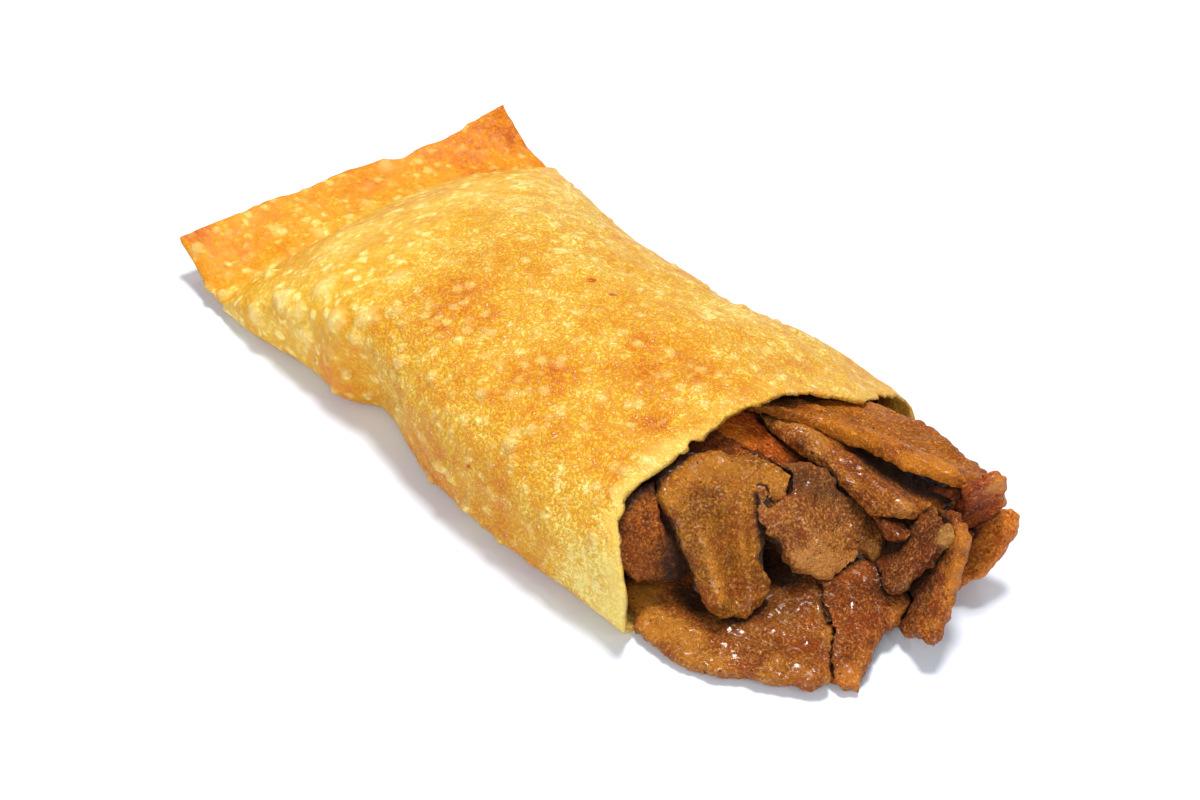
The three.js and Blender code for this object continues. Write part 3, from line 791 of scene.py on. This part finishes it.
class Value:
    """A number that varies over a surface; arithmetic on it adds Math nodes."""

    def __init__(self, shader, socket):
        self.shader = shader
        self.socket = socket

    def math(self, operation, first, second, clamped=False):
        settings = {"operation": operation, "use_clamp": clamped}
        return self.shader.add("ShaderNodeMath", settings, {0: first, 1: second})

    def __add__(self, other):
        return self.math("ADD", self, other)

    def __radd__(self, other):
        return self.math("ADD", other, self)

    def __sub__(self, other):
        return self.math("SUBTRACT", self, other)

    def __rsub__(self, other):
        return self.math("SUBTRACT", other, self)

    def __mul__(self, other):
        return self.math("MULTIPLY", self, other)

    def __rmul__(self, other):
        return self.math("MULTIPLY", other, self)

    def clamp(self):
        return self.math("ADD", self, 0.0, clamped=True)

    def larger(self, other):
        return self.math("MAXIMUM", self, other)

    def between(self, low, high):
        """0 below low, 1 above high and smooth in between."""
        settings = {"interpolation_type": "SMOOTHSTEP"}
        inputs = {"Value": self, "From Min": low, "From Max": high}
        return self.shader.add("ShaderNodeMapRange", settings, inputs)


class Shader:
    """The nodes of one material."""

    def __init__(self, name):
        self.material = bpy.data.materials.new(name)
        self.material.use_nodes = True
        self.tree = self.material.node_tree
        self.surface = self.tree.nodes["Principled BSDF"]
        self.place = self.add("ShaderNodeTexCoord", output="Object")

    def add(self, kind, settings=None, inputs=None, output=0):
        """Adds a node with its settings and inputs, and returns one of its outputs."""
        node = self.tree.nodes.new(kind)
        for name, setting in (settings or {}).items():
            if name == "stops":
                self.set_stops(node.color_ramp, setting)
            else:
                setattr(node, name, setting)
        for name, value in (inputs or {}).items():
            self.feed(node.inputs[name], value)
        return Value(self, node.outputs[output])

    def feed(self, socket, value):
        if isinstance(value, Value):
            self.tree.links.new(value.socket, socket)
        else:
            socket.default_value = value

    def set_stops(self, ramp, stops):
        while len(ramp.elements) < len(stops):
            ramp.elements.new(0.5)
        for element, (position, color) in zip(ramp.elements, stops):
            element.position = position
            element.color = color

    def set(self, **inputs):
        """Sets the surface's own sockets; underscores in the names stand for spaces."""
        for name, value in inputs.items():
            self.feed(self.surface.inputs[name.replace("_", " ")], value)

    def moved(self, offset):
        """The place on the surface, moved so that one pattern doesn't follow another."""
        return self.add("ShaderNodeMapping", None, {"Vector": self.place, "Location": offset})

    def noise(self, size, detail, place=None, roughness=0.5):
        """Noise between 0 and 1 with features of that size in millimetres."""
        inputs = {
            "Vector": place or self.place,
            "Scale": 1 / (size * MM),
            "Detail": detail,
            "Roughness": roughness,
        }
        return self.add("ShaderNodeTexNoise", None, inputs)

    def cells(self, size, place=None):
        """Distance to the nearest of many points that far apart."""
        inputs = {"Vector": place or self.place, "Scale": 1 / (size * MM)}
        return self.add("ShaderNodeTexVoronoi", None, inputs, "Distance")

    def painted(self, name):
        return self.add("ShaderNodeAttribute", {"attribute_name": name}, None, "Fac")

    def mix(self, part, first, second):
        """A colour between two colours."""
        inputs = {"Factor": part, 6: first, 7: second}
        return self.add("ShaderNodeMix", {"data_type": "RGBA"}, inputs, 2)

    def ramp(self, value, stops):
        return self.add("ShaderNodeValToRGB", {"stops": stops}, {"Fac": value})

    def bump(self, height, depth):
        """A normal from a height between 0 and 1 that stands for that many millimetres."""
        inputs = {"Height": height, "Distance": depth * MM, "Strength": 1.0}
        return self.add("ShaderNodeBump", None, inputs)


def tint(code):
    """The linear colour of a six-digit hexadecimal code."""
    channels = [int(code[k:k + 2], 16) / 255 for k in (0, 2, 4)]
    linear = [c / 12.92 if c <= 0.04045 else ((c + 0.055) / 1.055) ** 2.4 for c in channels]
    return (*linear, 1.0)


def dough_material():
    shader = Shader("fried_dough")
    browned = shader.painted("browned")
    blistered = shader.painted("blistered")
    grained = shader.painted("grained")
    inside = shader.painted("inside")
    lipped = shader.painted("lipped")
    broad = shader.noise(10, 3)
    patchy = shader.noise(3.4, 3, roughness=0.6)
    fine = shader.noise(1.2, 2)
    grain = shader.noise(0.6, 2, roughness=0.7)
    large_dots = shader.cells(3.2)
    small_dots = shader.cells(1.7, shader.moved((0.1, 0.2, 0.3)))
    chosen = shader.noise(3.0, 1, shader.moved((0.3, 0.1, 0.2)))
    smooth = 1 - grained
    bubble = (1 - large_dots.between(0.18, 0.46)) * chosen.between(0.42, 0.56)
    droplet = (1 - small_dots.between(0.16, 0.46)) * chosen.between(0.38, 0.54)
    rough = grain.between(0.34, 0.66)
    patches = (patchy - 0.5) * (0.40 + grained * 0.34)
    brown = browned + (broad - 0.5) * 0.60 + patches + (fine - 0.5) * 0.40
    brown = brown + (rough - 0.5) * (0.06 + grained * 0.36)
    brown = brown - blistered * 0.16 - bubble * (0.20 + smooth * 0.16)
    brown = brown - droplet * (0.06 + smooth * 0.20)
    color = shader.ramp(brown, [
        (0.0, tint("F8DE80")),
        (0.20, tint("EABC42")),
        (0.40, tint("E0A222")),
        (0.60, tint("DA8C0C")),
        (0.80, tint("D67606")),
        (1.0, tint("B05204")),
    ])
    color = shader.mix((bubble * 0.26).larger(blistered * 0.36), color, tint("FAD690"))
    # Paler band along the torn rim: paler dough, with painted light, strongest on the left side
    color = shader.mix(lipped * 0.55, color, tint("FFDC70"))
    # Inner skin darker the deeper in it lies: painted shade inside the roll, with darker soaked dough
    color = shader.mix(inside * 0.85, color, tint("B4661C"))
    # Painted glints: pale flecks on the grain standing in for tiny highlights
    glint = grain.between(0.60, 0.70) * fine.between(0.46, 0.58) * grained
    color = shader.mix(glint * 0.60, color, tint("FFEDB4"))
    height = fine * 0.30 + rough * grained * 0.45 + bubble * 0.5 + droplet * 0.35
    shader.set(
        Base_Color=color,
        Roughness=(0.50 - (rough - 0.5) * 0.3 + (patchy - 0.5) * 0.3).clamp(),
        Normal=shader.bump(height, 0.34),
        Specular_IOR_Level=0.24,
        Coat_Weight=0.0,
    )
    return shader.material


def fine_mesh(node, voxel):
    """An even, finely divided mesh of a CAD node's own shape."""
    shape = bmesh.new()
    shape.from_mesh(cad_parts[node].data)
    bmesh.ops.remove_doubles(shape, verts=shape.verts, dist=CAD_SAME_POINT)
    mesh = bpy.data.meshes.new("coarse_" + node)
    shape.to_mesh(mesh)
    shape.free()
    coarse = bpy.data.objects.new(mesh.name, mesh)
    bpy.context.scene.collection.objects.link(coarse)
    remesh = coarse.modifiers.new("even", "REMESH")
    remesh.mode = "VOXEL"
    remesh.voxel_size = voxel * MM
    graph = bpy.context.evaluated_depsgraph_get()
    even = bpy.data.meshes.new_from_object(coarse.evaluated_get(graph))
    bpy.data.objects.remove(coarse)
    shape = bmesh.new()
    shape.from_mesh(even)
    return shape


def smoothed(shape, times):
    for _ in range(times):
        bmesh.ops.smooth_vert(
            shape, verts=shape.verts, factor=0.5, use_axis_x=True, use_axis_y=True, use_axis_z=True
        )


def paint_edges(shape):
    """Paints how much a vertex lies on a thin edge, told by how far smoothing would pull it in.

    Returns each vertex's way out over the edge.
    """
    edged = shape.verts.layers.float.new("edged")
    kept = [vertex.co.copy() for vertex in shape.verts]
    smoothed(shape, EDGE_SMOOTHING)
    ways = []
    for vertex, place in zip(shape.verts, kept):
        pulled = (place - vertex.co) / MM
        vertex[edged] = clamp(pulled.length / EDGE_PULL)
        ways.append(pulled.normalized())
        vertex.co = place
    return ways


def meat_relief(place):
    """Height of the crumbly grain of the meat."""
    crumbs = 0.16 * lumps(place, 1.3, 2) + 0.12 * lumps(place, 0.7, 5)
    clumps = 0.24 * lumps(place, 4.2, 8) + 0.16 * lumps(place, 2.3, 3)
    return SWELL + crumbs + clumps


def ragged(place):
    """How far a slice's torn edge stands out."""
    return 1.4 * lumps(place, 3.0, 7) + 0.9 * lumps(place, 1.3, 4) + 0.3 * lumps(place, 0.7, 6)


def neighbours(node):
    """A tree of the faces of every CAD node but this one."""
    places = []
    faces = []
    for name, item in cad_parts.items():
        if name != node:
            first = len(places)
            places += [vertex.co for vertex in item.data.vertices]
            faces += [[first + k for k in face.vertices] for face in item.data.polygons]
    return BVHTree.FromPolygons(places, faces)


def hidden(tree, place, normal):
    """The share of the space above a surface that its neighbours close off."""
    looked = closed = 0
    for way in WAYS_AROUND:
        if way.dot(normal) > FACING:
            looked += 1
            distance = tree.ray_cast(place, way, CREVICE * MM)[3]
            if distance is not None:
                closed += 1 - distance / (CREVICE * MM)
    return closed / max(looked, 1)


def spotted(spots, place):
    """The tone, which is painted light and shade, and the wetness that the spots give a place."""
    tone = wetness = 0.0
    for middle, reach, toned, wetted in spots:
        away = (place - middle).length_squared / reach**2
        if away < 4:
            fade = math.exp(-away)
            tone += toned * fade
            wetness += wetted * fade
    return tone, wetness


def folded(folds, place):
    """Height that the ridges and grooves give a place."""
    total = 0.0
    for start, end, reach, height in folds:
        along = end - start
        part = clamp((place - start).dot(along) / along.length_squared)
        away = (place - start - along * part).length_squared / reach**2
        if away < 4:
            total += FOLD_GAIN * height * math.exp(-away)
    return total


def pushed(pushes, place):
    """The way and distance that a slice is moved at a place."""
    total = Vector((0, 0, 0))
    for middle, reach, way in pushes:
        away = (place - middle).length_squared / reach**2
        if away < 4:
            total += math.exp(-away) * way
    return total


def make_meat(node, slot, lean, dark, rim, wet):
    voxel = CORE_VOXEL if node == "filling_core" else SLICE_VOXEL
    spots = [(Vector(middle), *rest) for middle, *rest in SPOTS.get(node, [])]
    folds = [(Vector(start), Vector(end), *rest) for start, end, *rest in FOLDS.get(node, [])]
    pushes = [
        (Vector(middle), reach, Vector(way)) for middle, reach, way in PUSHED.get(node, [])
    ]
    shape = fine_mesh(node, voxel)
    smoothed(shape, SMOOTHING)
    ways = paint_edges(shape)
    edged = shape.verts.layers.float["edged"]
    toned = shape.verts.layers.float.new("toned")
    wetted = shape.verts.layers.float.new("wetted")
    shade = shape.verts.layers.float.new("shade")
    others = neighbours(node)
    shape.normal_update()
    for vertex, way in zip(shape.verts, ways):
        place = from_frame(vertex.co)
        edge = vertex[edged]
        tone, wetness = spotted(spots, place)
        fold = folded(folds, place)
        # Painted light and shade: the spots' tones, with paler ridges and darker grooves
        vertex[toned] = tone + FOLD_SHADING * fold
        vertex[wetted] = wetness
        vertex[shade] = hidden(others, vertex.co, vertex.normal)
        relief = meat_relief(place) + fold - THINNED * edge
        vertex.co += vertex.normal * relief * MM
        vertex.co += way * (ragged(place) + THINNED) * edge * MM
        vertex.co += pushed(pushes, place) * MM
        vertex.co.z = max(vertex.co.z, 0)
    material = meat_material(node, lean, dark, rim, wet)
    finish_piece(shape, "meat_" + node, node, material)


def meat_material(node, lean, dark, rim, wet):
    shader = Shader("meat_" + node)
    edged = shader.painted("edged")
    broad = shader.noise(8, 2)
    clumps = shader.noise(2.6, 3, roughness=0.6)
    fine = shader.noise(0.5, 3, roughness=0.7)
    crumbs = shader.cells(0.9)
    rough = fine.between(0.36, 0.64)
    shade = (broad - 0.5) * 1.6 + (clumps - 0.5) * 1.6 + (rough - 0.5) * 1.0
    color = shader.mix((shade + 0.52).clamp(), tint(dark), tint(lean))
    ruddy = shader.noise(5, 2, shader.moved((0.02, 0.05, 0.03))).between(0.48, 0.62)
    color = shader.mix(ruddy * 0.4, color, tint("A8440C"))
    pale = (clumps * 0.5 + fine * 0.9).between(0.74, 0.95)
    color = shader.mix(pale * 0.35, color, tint("DE9C50"))
    # Edge colour: the slices' orange crust, made brighter as painted edge highlights. Where the
    # spots' tones are high, the same colour is painted in as light and as wider edges.
    edge = (edged + (clumps - 0.5) * 0.7).between(0.48, 0.80)
    painted_light_and_tone = shader.painted("toned")
    patch = (painted_light_and_tone + (clumps - 0.5) * 0.8 + (fine - 0.5) * 0.5).between(0.15, 0.75)
    color = shader.mix((edge * 0.90).larger(patch * 0.75), color, tint(rim))
    # Painted glints: tiny pale specks standing in for highlights, more of them where the slice is wet
    glint_specks = shader.noise(0.5, 2, shader.moved((0.21, 0.13, 0.17))).between(0.56, 0.66)
    moist = shader.painted("wetted").clamp()
    color = shader.mix(glint_specks * (0.28 + moist * 0.3), color, tint("F8BC70"))
    flecks = shader.noise(0.8, 1, shader.moved((0.11, 0.23, 0.31))).between(0.70, 0.76)
    color = shader.mix(flecks * 0.8, color, tint("2C140A"))
    # Painted shade: crevices near other slices and the dark spots, lessened where the spots paint
    # light
    shaded = (shader.painted("shade") * 1.9 - 0.15 - painted_light_and_tone).clamp()
    color = shader.mix(shaded * 0.9, color, tint("1C0C04"))
    damp = shader.noise(1.6, 2, shader.moved((0.05, 0.02, 0.07))) + moist * 0.11
    damp = damp.between(0.63 - wet * 0.16, 0.75)
    shader.set(
        Base_Color=color,
        Roughness=(0.55 - damp * 0.20 - (fine - 0.5) * 0.4).clamp(),
        Coat_Weight=0.08 + damp * 0.46,
        Normal=shader.bump(rough * 0.4 + fine * 0.7 - crumbs * 0.5, 0.60),
        Specular_IOR_Level=0.25,
        Coat_Roughness=0.14,
    )
    return shader.material


def make_floor():
    shape = bmesh.new()
    bmesh.ops.create_grid(shape, x_segments=1, y_segments=1, size=FLOOR_REACH)
    mesh = bpy.data.meshes.new("floor")
    shape.to_mesh(mesh)
    shape.free()
    shader = Shader("pale_floor")
    shader.set(Base_Color=tint("F1F6FF"), Roughness=0.9)
    mesh.materials.append(shader.material)
    floor = bpy.data.objects.new("floor", mesh)
    bpy.context.scene.collection.objects.link(floor)


def aimed(owner, place, target):
    """Puts a lamp or the camera at a place, looking at a target, both in millimetres."""
    holder = bpy.data.objects.new(owner.name, owner)
    bpy.context.scene.collection.objects.link(holder)
    toward = Vector(target) - Vector(place)
    holder.location = Vector(place) * MM
    holder.rotation_euler = toward.to_track_quat("-Z", "Y").to_euler()
    return holder


def make_camera():
    lens = bpy.data.cameras.new("camera")
    lens.sensor_width = SENSOR_WIDTH
    lens.lens = FOCAL_LENGTH
    lens.clip_start = 0.01
    lens.clip_end = 20
    bpy.context.scene.camera = aimed(lens, CAMERA_PLACE, CAMERA_TARGET)


def soft_light(name, place, size, power):
    lamp = bpy.data.lights.new(name, "AREA")
    lamp.shape = "DISK"
    lamp.size = size * MM
    lamp.energy = power
    aimed(lamp, place, (0, 0, 0))


def make_light():
    world = bpy.data.worlds.new("studio")
    world.use_nodes = True
    sky = world.node_tree.nodes["Background"]
    sky.inputs["Color"].default_value = SKY_COLOR
    sky.inputs["Strength"].default_value = SKY_STRENGTH
    bpy.context.scene.world = world
    for lamp in LAMPS:
        soft_light(*lamp)
    bpy.context.scene.view_settings.view_transform = "Standard"


make_camera()
make_light()
make_floor()
make_wrapper()
for row in MEAT:
    make_meat(*row)
